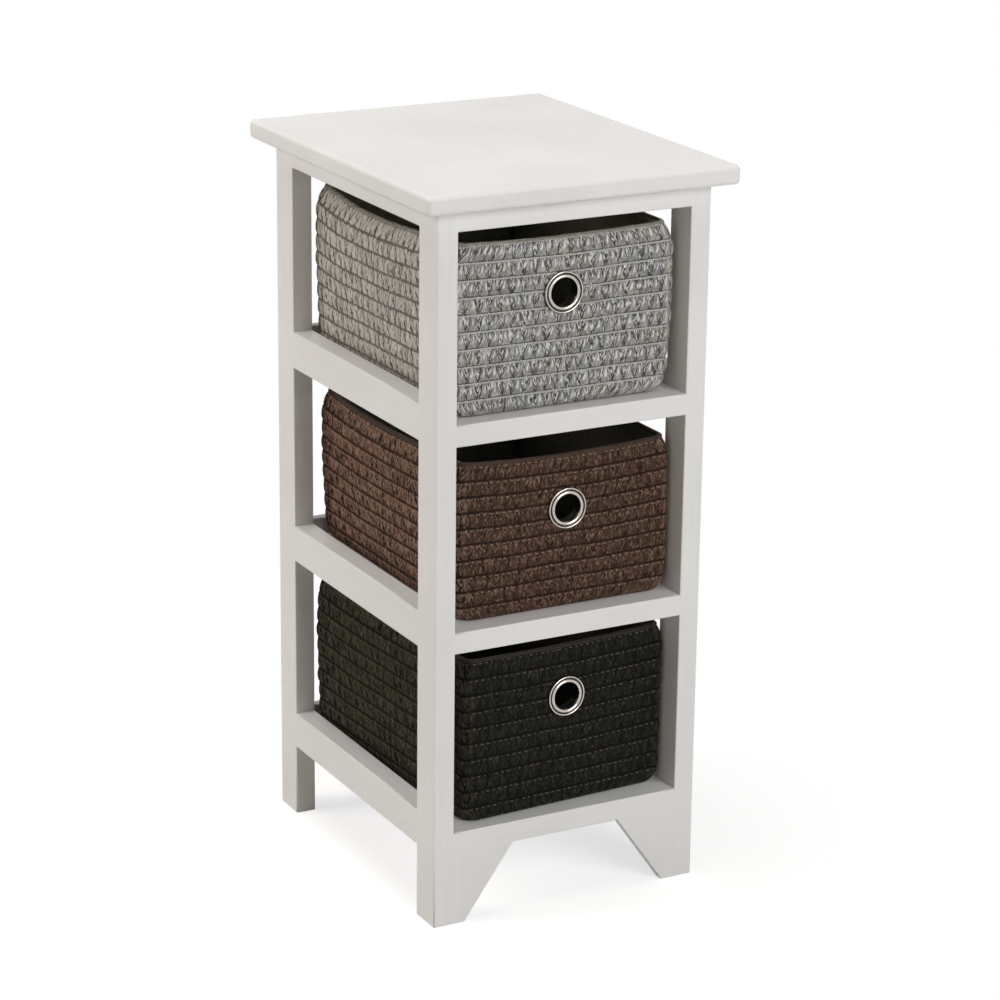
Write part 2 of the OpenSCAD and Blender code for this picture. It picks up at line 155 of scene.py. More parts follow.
def new_group(name, inputs):
    """An empty node group that is to put out a finish, and the sockets that it is given."""
    tree = bpy.data.node_groups.new(name, "ShaderNodeTree")
    for sockets, in_out in ((inputs, "INPUT"), (FINISH, "OUTPUT")):
        for socket, kind in sockets.items():
            tree.interface.new_socket(socket, in_out=in_out, socket_type="NodeSocket" + kind)
    return tree, tree.nodes.new("NodeGroupInput").outputs


def put_out(tree, *finish):
    out = tree.nodes.new("NodeGroupOutput")
    for socket, value in zip(FINISH, finish):
        tree.links.new(value, out.inputs[socket])


def finish_from(tree, group, inputs):
    """Places a group in a material with the material's own values."""
    return add_node(tree, "Group", inputs, node_tree=group).outputs


def link_finish(tree, shader, finish, relief, strength):
    """Gives a shader a finish: its colour, its roughness and its height, up to the relief in metres."""
    colour, roughness, height = finish
    tree.links.new(colour, shader.inputs["Base Color"])
    tree.links.new(roughness, shader.inputs["Roughness"])
    bump = add_node(tree, "Bump", {"Height": height, "Distance": relief, "Strength": strength})
    tree.links.new(bump.outputs["Normal"], shader.inputs["Normal"])


def new_material(name, **shader_values):
    """A material with one Principled shader whose plain values are set here."""
    material = bpy.data.materials.new(name)
    material.use_nodes = True
    shader = material.node_tree.nodes["Principled BSDF"]
    for socket, value in shader_values.items():
        shader.inputs[socket.replace("_", " ")].default_value = value
    return material, material.node_tree, shader


def object_place(tree, scale=(1, 1, 1)):
    """Object coordinates, scaled along each axis."""
    place = add_node(tree, "TexCoord").outputs["Object"]
    return add_node(tree, "Mapping", {"Vector": place, "Scale": scale}).outputs["Vector"]


# ---- materials ----

PAINT = (0.815, 0.805, 0.79, 1)
PAINT_SHADED = (0.765, 0.752, 0.735, 1)
# Brush strokes are drawn out along a timber's grain: how fine the noise is along each axis
GRAIN_SCALES = {"x": (9, 190, 190), "y": (190, 9, 190), "z": (190, 190, 9)}

BRAID_UV = "Braid"
# How the braid lies: one zigzag's length, and how wide its petal is at the foot and head of a band
ZIGZAG = 9.4 * MM
LOBE_FOOT = 0.42
LOBE_HEAD = 0.10
# The way round a basket. From the middle of the back each side begins and ends at these shares of it
BASKET_GIRTH = 837 * MM
SIDE_BEGINS = 0.115
SIDE_ENDS = 0.385
# How far the painted light and shade of the sides goes from that of the front
SIDE_LIGHT_SHARE = 0.75
# The fibres in the troughs: how many to a zigzag, how far they lean, and how far drawn out they are
STROKES = 11.0
STROKE_LEAN = 0.5
STROKE_DRAWN = 0.25

# A plain weave shows one wave of its surface for two threads
THREADS_PER_MM = 2.0
THREAD_WAVE = math.pi * THREADS_PER_MM / MM
# The rows of a rim tape's section between which it turns from its outside to its inside
TAPE_TURNS = (5.0, 6.0)


def painted_grain_group():
    """Brushed satin paint: faint strokes along the grain and a fine skin of its own."""
    inputs = {"Along": "Vector", "Place": "Vector", "Paint": "Color", "Shaded": "Color"}
    tree, given = new_group("PaintedGrain", inputs)
    plus, times, noisy = (partial(helper, tree) for helper in (sum_of, product_of, noise_at))
    strokes = noisy(given["Along"], 2.2, 4, 0.6)
    fibres = noisy(given["Along"], 7.0, 2, 0.5)
    skin = noisy(given["Place"], 900, 2, 0.5)
    drift = noisy(given["Place"], 9, 2, 0.5)
    tone = ramp(tree, plus(times(strokes, 0.35), times(drift, 0.65)), 0.36, 0.64)
    relief = plus(times(strokes, 0.5), times(fibres, 0.25), times(skin, 0.25))
    colour = blend_colours(tree, tone, given["Shaded"], given["Paint"])
    put_out(tree, colour, spread(tree, strokes, 0.34, 0.5), relief)
    return tree


def paint_material(axis, group):
    material, tree, shader = new_material("WhitePaint_grain_" + axis, Specular_IOR_Level=0.4)
    places = {"Along": object_place(tree, GRAIN_SCALES[axis]), "Place": object_place(tree)}
    finish = finish_from(tree, group, {**places, "Paint": PAINT, "Shaded": PAINT_SHADED})
    link_finish(tree, shader, finish, 0.12 * MM, 0.6)
    return material


def braid_group():
    """A sewn flat braid. Weave's x counts its zigzags, and its y counts the bands from below.

    Smooth petals, widest at the foot of a band, alternate with troughs of crossed fibres.
    """
    colours = dict.fromkeys(("Braid", "Cast", "Deep", "Pale", "Flank"), "Color")
    shares = dict.fromkeys(("Petals", "Net", "Flecks", "Lip", "Seam", "Side"), "Float")
    tree, given = new_group("SewnBraid", {"Weave": "Vector", **colours, **shares})
    plus = partial(sum_of, tree)
    times = partial(product_of, tree)
    minus = partial(maths, tree, "SUBTRACT")
    larger = partial(maths, tree, "MAXIMUM")
    inverse = partial(minus, 1.0)
    rise = partial(ramp, tree)
    band_of = partial(window, tree)
    mix = partial(blend_colours, tree)

    def centred(value):
        return minus(value, 0.5)

    def noisy(place, scale, detail, roughness):
        """Noise about 0."""
        return centred(noise_at(tree, place, scale, detail, roughness))

    def joined(across_it, up_it, apart=0.0):
        return add_node(tree, "CombineXYZ", {"X": across_it, "Y": up_it, "Z": apart}).outputs[0]

    # Where a point lies: in which band and zigzag, how far up the band, and how far from the crest
    weave = given["Weave"]
    parts = add_node(tree, "SeparateXYZ", {"Vector": weave}).outputs
    loose = noisy(weave, 3.1, 2, 0.6)
    slip = noisy(weave, 2.3, 2, 0.6)
    lint = noisy(weave, 13, 2, 0.7)
    along = plus(parts["X"], times(loose, 0.2))
    band = maths(tree, "FLOOR", parts["Y"])
    across = maths(tree, "FRACT", parts["Y"])
    zigzag = maths(tree, "FLOOR", along)
    sideways = centred(maths(tree, "FRACT", along))
    from_crest = maths(tree, "ABSOLUTE", sideways)
    # The sides get painted light and shade of their own: paler, warmer tones, stronger creases and a lit
    # crown on each band. The painted highlights are full on the front and back only
    from_back = maths(tree, "PINGPONG", times(parts["X"], ZIGZAG / BASKET_GIRTH), 0.5)
    side_light = times(SIDE_LIGHT_SHARE, band_of(from_back, SIDE_BEGINS, SIDE_ENDS, 0.02))
    front_light = inverse(side_light)
    side_seam_light = times(side_light, given["Seam"])

    # Petals: fibres that fan out from the foot, and a painted highlight near the head of each petal, full on
    # the front and back and faint on the sides
    edge = minus(LOBE_FOOT, times(across, LOBE_FOOT - LOBE_HEAD))
    past_edge = minus(from_crest, edge)
    on_petal = times(inverse(rise(past_edge, -0.08, 0.03)), given["Petals"])
    on_trough = inverse(on_petal)
    white = add_node(tree, "TexWhiteNoise", {"Vector": joined(zigzag, band)}, noise_dimensions="2D")
    dice = add_node(tree, "SeparateXYZ", {"Vector": white.outputs["Color"]}).outputs
    fanned = maths(tree, "DIVIDE", sideways, edge)
    strand_x = plus(times(fanned, 1.8), times(zigzag, 7.3))
    strand_y = plus(times(across, 1.1), times(band, 5.7))
    fibres = noisy(joined(strand_x, strand_y), 2.6, 3, 0.65)
    leaf_place = plus(times(centred(dice["X"]), 0.6), times(minus(0.57, across), 0.9))
    leaf_reach = maths(tree, "ABSOLUTE", minus(fanned, leaf_place))
    petal_highlight = times(inverse(rise(leaf_reach, 0.0, 0.5)), band_of(across, 0.48, 0.68, 0.2))
    petal_highlight = times(petal_highlight, rise(dice["Y"], -0.9, 0.7), front_light)
    petal_tone = plus(0.48, times(fibres, 1.3), times(centred(dice["Z"]), 0.16), times(petal_highlight, 0.6))

    def strokes(lean):
        """Noise drawn out into strokes that lean towards the middle of a petal as they rise, or away."""
        beside = times(plus(from_crest, times(across, STROKE_LEAN * lean)), STROKES)
        half = times(maths(tree, "GREATER_THAN", sideways, 0.0), 2.9)
        apart = plus(times(zigzag, 5.3), times(band, 3.7), half, 11 * lean)
        upward = times(across, STROKES * STROKE_DRAWN, minus(1.0, times(side_light, 0.6)))
        return noisy(joined(beside, upward, apart), 1.0, 1, 0.6)

    # Troughs: a net of crossed fibres
    net = times(plus(strokes(1), times(strokes(-1), 0.6)), 4, given["Net"])
    # On the sides the net is stronger on brown and black and a little weaker on grey: painted raking light
    # and shade
    net = times(net, plus(1.0, times(side_light, minus(times(given["Seam"], 2.3), 0.45))))
    trough_tone = plus(0.45, net, times(slip, 0.3), times(lint, 0.5))
    petal_tone = plus(petal_tone, times(net, 0.2))
    light = plus(times(petal_tone, on_petal), times(trough_tone, on_trough))
    # Painted shade on the sides, where the seam is strong: each band is darker, most of all towards its foot
    light = plus(light, times(side_seam_light, minus(times(centred(across), 0.2), 0.2)))

    # Painted shade in the creases: a darker line round each petal, at the foot of a band, between two
    # petals, and along the seam, wider and stronger on the sides
    border_shade = times(band_of(past_edge, -0.01, 0.03, 0.03), 0.3, plus(1.0, times(lint, 1.5)))
    light = minus(light, times(border_shade, given["Petals"]))
    marks = times(inverse(rise(across, 0.01, 0.11)), plus(0.45, times(slip, 2.2)))
    groove_shade = times(rise(from_crest, 0.40, 0.49), inverse(rise(across, 0.25, 0.6)))
    groove_shade = times(groove_shade, plus(0.35, times(side_light, 0.25)), larger(given["Petals"], side_light))
    seam_shift = (times(side_light, 0.05), times(side_seam_light, 0.09), times(given["Seam"], 0.02))
    seam = times(rise(plus(across, *seam_shift), 0.95, 0.985), larger(given["Seam"], side_light))
    seam = plus(seam, times(band_of(across, 0.90, 0.91, 0.02), 0.3, given["Petals"]))
    light = minus(light, larger(larger(marks, groove_shade), seam))

    # Colours: the braid's own hues, the deep colour where its dark fibres and the painted shade lie, with
    # pale fibres and painted highlights on the crests and the lip
    # Random patches of the warm cast. On the sides, painted light turns the hue to the cast and the colour
    # towards the side colour
    hue = plus(rise(noise_at(tree, weave, 0.45, 3, 0.6), 0.38, 0.62), times(side_light, 0.7))
    braid = mix(hue, given["Braid"], given["Cast"])
    braid = mix(times(side_light, given["Side"]), braid, given["Flank"])
    colour = mix(rise(light, 0.0, 0.62), given["Deep"], braid)
    # Pale flecks where the tone is light: pale fibres all round on brown and black, and on grey painted
    # glints, full on the front and back and faint on the sides
    flecks_and_glints = times(rise(light, 0.5, 0.98), given["Flecks"], larger(front_light, inverse(given["Petals"])))
    colour = mix(flecks_and_glints, colour, given["Pale"])
    # Painted highlight on the sides: a pale broken line across the crown of each band, where the seam is
    # strong
    side_crown_highlight = times(band_of(across, 0.74, 0.80, 0.04), side_seam_light, plus(0.25, times(lint, 2.0)))
    colour = mix(side_crown_highlight, colour, given["Pale"], "ADD")
    # The pale lip near the head of each band is partly the real pale edge and partly painted highlight: full
    # on the front and back, faint on the sides
    lip = times(band_of(across, 0.955, 0.98, 0.012), given["Lip"], plus(1.0, times(loose, 1.8)), front_light)
    colour = mix(lip, colour, given["Pale"])
    relief = plus(times(fibres, 0.8, on_petal), times(plus(net, lint), 0.35, on_trough))
    put_out(tree, colour, spread(tree, on_petal, 0.85, 0.5), relief)
    return tree


def braid_material(name, group, shader_values, **finish_values):
    material, tree, shader = new_material(name, **shader_values)
    weave = add_node(tree, "UVMap", uv_map=BRAID_UV).outputs["UV"]
    link_finish(tree, shader, finish_from(tree, group, {"Weave": weave, **finish_values}), 0.7 * MM, 1.0)
    return material


def cloth_group():
    """Plain close-woven cloth or thread: crossed ribs broken up by noise."""
    tree, given = new_group("PlainCloth", {"Place": "Vector", "Cloth": "Color", "Shaded": "Color"})
    plus, times = (partial(helper, tree) for helper in (sum_of, product_of))
    parts = add_node(tree, "SeparateXYZ", {"Vector": given["Place"]}).outputs
    level = maths(tree, "SINE", times(parts["Z"], THREAD_WAVE))
    upright = maths(tree, "SINE", times(plus(parts["X"], parts["Y"]), THREAD_WAVE))
    slubs = noise_at(tree, given["Place"], 240, 4, 0.6)
    light = plus(times(level, 0.25), times(upright, 0.25), slubs)
    colour = blend_colours(tree, ramp(tree, light, 0.1, 0.95), given["Shaded"], given["Cloth"])
    put_out(tree, colour, spread(tree, slubs, 0.8, 0.95), light)
    return tree


def cloth_material(name, group, cloth, shaded, outside=None):
    """Cloth of one colour, or a tape that is paler on the rows of its section that lie outside: the darker
    inner rows are painted shade.
    """
    material, tree, shader = new_material(name, Specular_IOR_Level=0.2, Sheen_Weight=0.1)
    if outside:
        weave = add_node(tree, "UVMap", uv_map=BRAID_UV).outputs["UV"]
        row = add_node(tree, "SeparateXYZ", {"Vector": weave}).outputs["Y"]
        cloth = blend_colours(tree, ramp(tree, row, *TAPE_TURNS), outside, cloth)
    finish = finish_from(tree, group, {"Place": object_place(tree), "Cloth": cloth, "Shaded": shaded})
    link_finish(tree, shader, finish, 0.15 * MM, 0.8)
    return material


def metal_material(name, colour, dulled, low_rough, high_rough, grain_scale):
    """Metal with handling marks: patches that are duller than the rest."""
    material, tree, shader = new_material(name, Metallic=1.0)
    place = object_place(tree)
    marks = noise_at(tree, place, grain_scale, 4, 0.6)
    fine = noise_at(tree, place, grain_scale * 9, 2, 0.5)
    tone = blend_colours(tree, ramp(tree, marks, 0.35, 0.7), colour, dulled)
    link_finish(tree, shader, (tone, spread(tree, marks, low_rough, high_rough), fine), 0.02 * MM, 0.5)
    return material


def bare_wood_material(name, pale, dark, scale):
    material, tree, shader = new_material(name, Specular_IOR_Level=0.3)
    grain = noise_at(tree, object_place(tree, scale), 3, 5, 0.6)
    pores = noise_at(tree, object_place(tree), 700, 2, 0.5)
    tone = blend_colours(tree, ramp(tree, grain, 0.3, 0.7), pale, dark)
    link_finish(tree, shader, (tone, spread(tree, pores, 0.55, 0.8), pores), 0.08 * MM, 0.6)
    return material


painted_grain = painted_grain_group()
sewn_braid = braid_group()
plain_cloth = cloth_group()

PAINTS = {axis: paint_material(axis, painted_grain) for axis in GRAIN_SCALES}
NICKEL = metal_material("PolishedNickel", (0.56, 0.52, 0.48, 1), (0.46, 0.43, 0.39, 1), 0.12, 0.22, 160)
# Nearly black metal for the eyelet's groove and barrel: painted shade and dark reflection
SHADE_NICKEL = metal_material("ShadeNickel", (0.05, 0.043, 0.036, 1), (0.03, 0.026, 0.022, 1), 0.35, 0.5, 200)
ZINC = metal_material("ZincSteel", (0.60, 0.60, 0.58, 1), (0.42, 0.42, 0.41, 1), 0.30, 0.48, 260)
DOWEL_WOOD = bare_wood_material("RawBeech", (0.66, 0.50, 0.33, 1), (0.50, 0.35, 0.21, 1), (60, 60, 60))
HARDBOARD = bare_wood_material("Hardboard", (0.34, 0.24, 0.15, 1), (0.22, 0.15, 0.09, 1), (90, 90, 300))


def cloths(name, tones):
    """One cloth for each colour of basket. Its tones are the cloth's, its shaded one and any outside."""
    return {
        colour: cloth_material(colour.capitalize() + name, plain_cloth, *own)
        for colour, own in tones.items()
    }


LININGS = cloths("Lining", {
    "grey": ((0.23, 0.215, 0.155, 1), (0.10, 0.092, 0.065, 1)),
    "brown": ((0.10, 0.095, 0.060, 1), (0.04, 0.037, 0.024, 1)),
    "black": ((0.115, 0.100, 0.070, 1), (0.05, 0.043, 0.030, 1)),
})
# The grey tape's first tone, on its inner rows, is painted shade; its third tone is its paler outside
TAPES = cloths("Tape", {
    "grey": ((0.15, 0.122, 0.095, 1), (0.08, 0.07, 0.058, 1), (0.44, 0.42, 0.36, 1)),
    "brown": ((0.090, 0.055, 0.040, 1), (0.036, 0.021, 0.015, 1)),
    "black": ((0.045, 0.033, 0.022, 1), (0.014, 0.010, 0.007, 1)),
})
THREADS = cloths("Thread", {
    "grey": ((0.60, 0.59, 0.57, 1), (0.40, 0.39, 0.37, 1)),
    "brown": ((0.32, 0.205, 0.160, 1), (0.18, 0.115, 0.088, 1)),
    "black": ((0.13, 0.120, 0.095, 1), (0.07, 0.064, 0.050, 1)),
})
# Dry fibres catch more light at a slant, hence the sheen. The side colour and its share paint paler, warmer
# light on the sides
BRAIDS = {
    "grey": braid_material(
        "GreyBraid", sewn_braid,
        {"Specular_IOR_Level": 0.4, "Sheen_Weight": 0.22, "Sheen_Tint": (1.0, 0.90, 0.74, 1)},
        Braid=(0.308, 0.310, 0.303, 1), Cast=(0.325, 0.298, 0.262, 1), Deep=(0.044, 0.042, 0.038, 1),
        Pale=(0.78, 0.77, 0.755, 1), Flank=(0.83, 0.76, 0.68, 1),
        Petals=1.0, Net=0.85, Flecks=0.9, Lip=0.7, Seam=0.15, Side=0.75,
    ),
    "brown": braid_material(
        "BrownBraid", sewn_braid,
        {"Specular_IOR_Level": 0.12, "Sheen_Weight": 0.14, "Sheen_Tint": (1.0, 0.58, 0.36, 1)},
        Braid=(0.078, 0.039, 0.029, 1), Cast=(0.061, 0.037, 0.023, 1), Deep=(0.010, 0.005, 0.004, 1),
        Pale=(0.27, 0.175, 0.130, 1), Flank=(0.373, 0.222, 0.157, 1),
        Petals=0.3, Net=0.5, Flecks=0.9, Lip=0.0, Seam=1.0, Side=1.0,
    ),
    "black": braid_material(
        "BlackBraid", sewn_braid,
        {"Specular_IOR_Level": 0.07, "Sheen_Weight": 0.04, "Sheen_Tint": (1.0, 0.86, 0.45, 1)},
        Braid=(0.0125, 0.0118, 0.0080, 1), Cast=(0.0108, 0.0112, 0.0088, 1), Deep=(0.0025, 0.0025, 0.002, 1),
        Pale=(0.065, 0.062, 0.048, 1), Flank=(0.095, 0.085, 0.050, 1),
        Petals=0.3, Net=0.5, Flecks=0.6, Lip=0.0, Seam=1.0, Side=0.8,
    ),
}

# ---- mesh helpers ----


def add_piece(name, bm, material, body, material_slot, nodes=(), smooth_angle=None):
    """Makes a finished piece of a bmesh, lets it ride on its body and hides the nodes it stands for."""
    mesh = bpy.data.meshes.new(name)
    bm.to_mesh(mesh)
    bm.free()
    mesh.shade_smooth()
    if smooth_angle is not None:
        mesh.set_sharp_from_angle(angle=smooth_angle)
    mesh.materials.append(material)
    piece = bpy.data.objects.new(name, mesh)
    bpy.context.scene.collection.objects.link(piece)
    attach(piece, body)
    if nodes:
        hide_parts(*nodes)
    return piece


def round_edges(bm, edges, radius, segments):
    bmesh.ops.bevel(
        bm, geom=edges, offset=radius, segments=segments, profile=0.5, affect="EDGES", material=-1,
        clamp_overlap=True,
    )


# The normal of a face that is square to an axis goes at least this far along it
SQUARE_ON = 0.9999


def keep_flats_flat(mesh, smallest):
    """Faces of a planed timber stay flat, and only the narrow strips of its rounded edges are smooth."""
    for face in mesh.polygons:
        places = [mesh.vertices[index].co for index in face.vertices]
        spans = sorted(max(at[i] for at in places) - min(at[i] for at in places) for i in range(3))
        square_on = max(abs(part) for part in face.normal) > SQUARE_ON
        face.use_smooth = spans[1] < smallest and not square_on


def box_mesh(low, high):
    bm = bmesh.new()
    place = Matrix.Translation((low + high) / 2) @ Matrix.Diagonal((*(high - low), 1))
    bmesh.ops.create_cube(bm, size=1, matrix=place)
    return bm


def cut_across(bm, axis, place):
    """Cuts a mesh along a plane square to an axis."""
    normal = Vector((0, 0, 0))
    normal[axis] = 1
    geometry = bm.verts[:] + bm.edges[:] + bm.faces[:]
    bmesh.ops.bisect_plane(bm, geom=geometry, dist=1e-6, plane_co=normal * place, plane_no=normal)


def finish_cad_node(node, material):
    frame["nodes"][node].data.materials.clear()
    frame["nodes"][node].data.materials.append(material)


# ---- painted timbers ----

EASED_RADIUS = 1.1 * MM
EASED_SEGMENTS = 4
# Timbers that are this close to each other meet
TOUCH = 0.6 * MM
BOARD_EDGE_RADIUS = 3.5 * MM
BOARD_EDGE_SEGMENTS = 8
# A front foot on the floor: its post and the foot of its bracket
FOOT_WIDTH = 27 * MM

TIMBERS = [
    node
    for node in frame["record"]["behaviour"]["bodies"]["frame"]
    if node.endswith(("_post", "_rail", "_shelf", "_cleat"))
]
BRACKETS = ["left_foot_bracket", "right_foot_bracket"]
TIMBER_BOXES = {node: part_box(node) for node in TIMBERS + BRACKETS + ["top_board"]}
post_low, post_high = TIMBER_BOXES["left_front_post"]
POST_WIDTH = post_high.x - post_low.x


def is_covered(point, box):
    low, high = box
    return all(low[i] - TOUCH < point[i] < high[i] + TOUCH for i in range(3))


def grain_axis(low, high):
    """The number of the axis along which a timber is longest."""
    size = list(high - low)
    return size.index(max(size))


def free_edges(bm, node):
    """The edges that run along the grain, where no other timber covers them."""
    axis = grain_axis(*TIMBER_BOXES[node])
    others = [box for other, box in TIMBER_BOXES.items() if other != node]
    found = []
    for edge in bm.edges:
        start, end = (vert.co for vert in edge.verts)
        runs_along = abs((end - start).normalized()[axis]) > 0.99
        flat = len(edge.link_faces) == 2 and edge.calc_face_angle() < 0.1
        middle = (start + end) / 2
        if runs_along and not flat and not any(is_covered(middle, box) for box in others):
            found.append(edge)
    return found


def cut_where_others_meet(bm, node):
    """Cuts a timber across wherever another one begins or ends against it."""
    low, high = TIMBER_BOXES[node]
    axis = grain_axis(low, high)
    marks = set()
    for other, (other_low, other_high) in TIMBER_BOXES.items():
        meets = all(other_low[i] - TOUCH < high[i] and other_high[i] + TOUCH > low[i] for i in range(3))
        if other != node and meets:
            marks |= {round(other_low[axis], 5), round(other_high[axis], 5)}
    for mark in sorted(marks):
        if low[axis] + TOUCH < mark < high[axis] - TOUCH:
            cut_across(bm, axis, mark)


def add_timber(name, node, bm, edges, radius=EASED_RADIUS, segments=EASED_SEGMENTS, grain=None):
    """Eases a timber's edges and paints it along its grain."""
    round_edges(bm, edges, radius, segments)
    paint = PAINTS[grain or "xyz"[grain_axis(*TIMBER_BOXES[node])]]
    piece = add_piece(name, bm, paint, "frame", "white_paint", [node])
    keep_flats_flat(piece.data, 2.5 * radius)


def bracket_mesh(node):
    """The slanted piece beside a front foot: a thin block with its free side cut to a slant."""
    low, high = TIMBER_BOXES[node]
    bm = box_mesh(low, high)
    middle = (low + high) / 2
    left = middle.x < 0
    slope_foot = low.x - POST_WIDTH + FOOT_WIDTH if left else high.x + POST_WIDTH - FOOT_WIDTH
    for vert in bm.verts:
        free_side = vert.co.x > middle.x if left else vert.co.x < middle.x
        if free_side and vert.co.z < middle.z:
            vert.co.x = slope_foot
    return bm


def is_slanted(edge):
    run = edge.verts[0].co - edge.verts[1].co
    return abs(run.normalized().x) > 0.3 and abs(run.z) > 5 * MM


def add_timbers():
    for node in TIMBERS:
        bm = box_mesh(*TIMBER_BOXES[node])
        cut_where_others_meet(bm, node)
        add_timber("painted_" + node, node, bm, free_edges(bm, node))
    for node in BRACKETS:
        bm = bracket_mesh(node)
        add_timber("painted_" + node, node, bm, [edge for edge in bm.edges if is_slanted(edge)], grain="z")
    board = box_mesh(*TIMBER_BOXES["top_board"])
    add_timber(
        "painted_top_board", "top_board", board, board.edges[:], BOARD_EDGE_RADIUS, BOARD_EDGE_SEGMENTS
    )


add_timbers()

for node in ("front_rail_dowels", "side_rail_dowels", "back_rail_dowels", "bracket_dowels"):
    finish_cad_node(node, DOWEL_WOOD)
for node in ("top_screws", "cleat_screws"):
    finish_cad_node(node, ZINC)

# ---- baskets ----

BANDS = 10
BINDING_HEIGHT = 2.5 * MM
TAPE_RISE = 1.4 * MM
WALL = 5.5 * MM
CORNER_RADIUS = 6 * MM
LINING_THICKNESS = 0.8 * MM
EYELET_RADIUS = 16.25 * MM
BASE_TOP = 5 * MM
# The black basket stands a little askew
BLACK_LEAN = math.radians(2.96)

# The wall's soft form: it waves slowly in and out and up and down, and draws in at both ends
SWAY = 1.0 * MM
RIPPLE = 0.7 * MM
WAIST = 0.8 * MM
RIM_BEGINS = 0.88
RIM_DRAW = 1.2 * MM
FOOT_ENDS = 0.075
FOOT_DRAW = 2.0 * MM

# The columns of a zigzag's crest, and as many again in the trough beside it
CREST_COLUMNS = 4
# Rows of one band: height in the band, how far the braid stands out, and how strong its crests are there
BAND_ROWS = [
    (0.00, 0.00, 0.0), (0.05, 0.50, 0.5), (0.15, 0.82, 0.9), (0.34, 0.97, 1.0), (0.54, 1.00, 1.0),
    (0.72, 0.92, 0.7), (0.86, 0.76, 0.2), (0.955, 0.55, 0.0),
]
BAND_SWELL = 1.1 * MM
LOBE_SWELL = 1.0 * MM
INNER_ROWS = 20
# Each crest swells by its own share between these
CREST_SHARES = (0.6, 1.3)

grey_low, grey_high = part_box("grey_basket_shell")
BASKET_WIDTH = grey_high.x - grey_low.x
BASKET_DEPTH = grey_high.y - grey_low.y


class Basket:
    """One basket's own shape. Points are given by the share of the way round its wall, counted from the
    middle of the back, the height above its base and the distance out from the nominal outer face."""

    def __init__(self, colour, lean, eyelet_drop, sags, rise, bulge, flare, rim_in, seed):
        low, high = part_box(colour + "_basket_shell")
        self.colour = colour
        self.half_w = BASKET_WIDTH / 2
        self.half_d = BASKET_DEPTH / 2
        self.height = high.z - low.z + BINDING_HEIGHT
        self.wall_height = self.height - TAPE_RISE
        self.band = self.wall_height / BANDS
        self.eyelet_height = self.height - eyelet_drop
        self.front_sag, self.left_sag, self.right_sag = sags
        self.rise = rise
        self.bulge = bulge
        self.flare = flare
        self.rim_in = rim_in
        self.seed = seed
        centre = Vector(((low.x + high.x) / 2, (low.y + high.y) / 2, low.z))
        self.place = Matrix.Translation(centre) @ Matrix.Rotation(lean, 4, "Z")
        straight_w = BASKET_WIDTH - 2 * CORNER_RADIUS
        straight_d = BASKET_DEPTH - 2 * CORNER_RADIUS
        corner = math.pi / 2 * CORNER_RADIUS
        self.perimeter = 2 * (straight_w + straight_d) + 4 * corner
        self.zigzags = round(self.perimeter / ZIGZAG)
        # The way round, clockwise seen from above: half the back, then corner and side in turn
        self.stretches = [straight_w / 2, corner, straight_d, corner, straight_w, corner, straight_d, corner]
        self.stretches.append(straight_w / 2)

    def outline(self, share, corner_radius, inset):
        """The point and the outward direction at a share of the way round, in plan."""
        way = (share % 1.0) * self.perimeter
        index = 0
        while index < len(self.stretches) - 1 and way > self.stretches[index]:
            way -= self.stretches[index]
            index += 1
        part = way / self.stretches[index]
        reach_x = self.half_w - inset
        reach_y = self.half_d - inset
        flat_x = reach_x - corner_radius
        flat_y = reach_y - corner_radius
        quarter = index // 2
        heading = math.pi / 2 - quarter * math.pi / 2
        at_corner = index % 2 == 1
        if at_corner:
            heading -= part * math.pi / 2
        out = Vector((math.cos(heading), math.sin(heading), 0))
        if at_corner:
            side_x, side_y = ((1, 1), (1, -1), (-1, -1), (-1, 1))[quarter]
            return Vector((side_x * flat_x, side_y * flat_y, 0)) + out * corner_radius, out
        straight = (
            (flat_x * part, reach_y),
            (reach_x, flat_y * (1 - 2 * part)),
            (flat_x * (1 - 2 * part), -reach_y),
            (-reach_x, flat_y * (2 * part - 1)),
            (flat_x * (part - 1), reach_y),
        )
        return Vector((*straight[quarter], 0)), out

    def sag(self, point):
        """How far the rim hangs down over a point of the wall. It stands up a little at the corners."""
        back = point.y / self.half_d
        along_side = max(0.0, 1 - back**2) * (1 + 0.6 * back)
        along_front = max(0.0, 1 - (point.x / self.half_w) ** 2)
        side_sag = self.left_sag if point.x < 0 else self.right_sag
        return side_sag * along_side + self.front_sag * along_front - self.rise

    def wall_point(self, share, height, out):
        """A point of the soft wall, in the frame's own axes."""
        level = height / self.height
        near_rim = max(0.0, level - RIM_BEGINS) / (1 - RIM_BEGINS)
        near_base = max(0.0, FOOT_ENDS - level) / FOOT_ENDS
        draw = WAIST * (2 * level - 1) ** 2 + RIM_DRAW * near_rim + FOOT_DRAW * near_base**2
        radius = CORNER_RADIUS + 2 * MM * near_rim + 6 * MM * near_base**1.5
        point, outward = self.outline(share, radius, draw)
        belly = math.sin(math.pi * min(1.0, max(0.0, level))) ** 0.8
        fullness = 1 - min(abs(point.x) / self.half_w, abs(point.y) / self.half_d) ** 4
        sway = noise.noise(Vector((point.x * 22, point.y * 22, height * 16 + self.seed))) * SWAY
        point += outward * (out + self.bulge * belly * fullness * abs(outward.x) + sway * belly)
        reach_out = self.flare[0] if point.x < 0 else self.flare[1]
        widening = reach_out * math.sqrt(min(1.0, max(0.0, level / 0.8))) - self.rim_in * near_rim
        point.x *= 1 + widening / self.half_w
        drop = self.sag(point) * max(0.0, level) ** 1.3
        ripple = noise.noise(Vector((point.x * 30, point.y * 30, height * 9 + self.seed + 7))) * RIPPLE
        point.z = height - drop + ripple * belly
        return self.place @ point


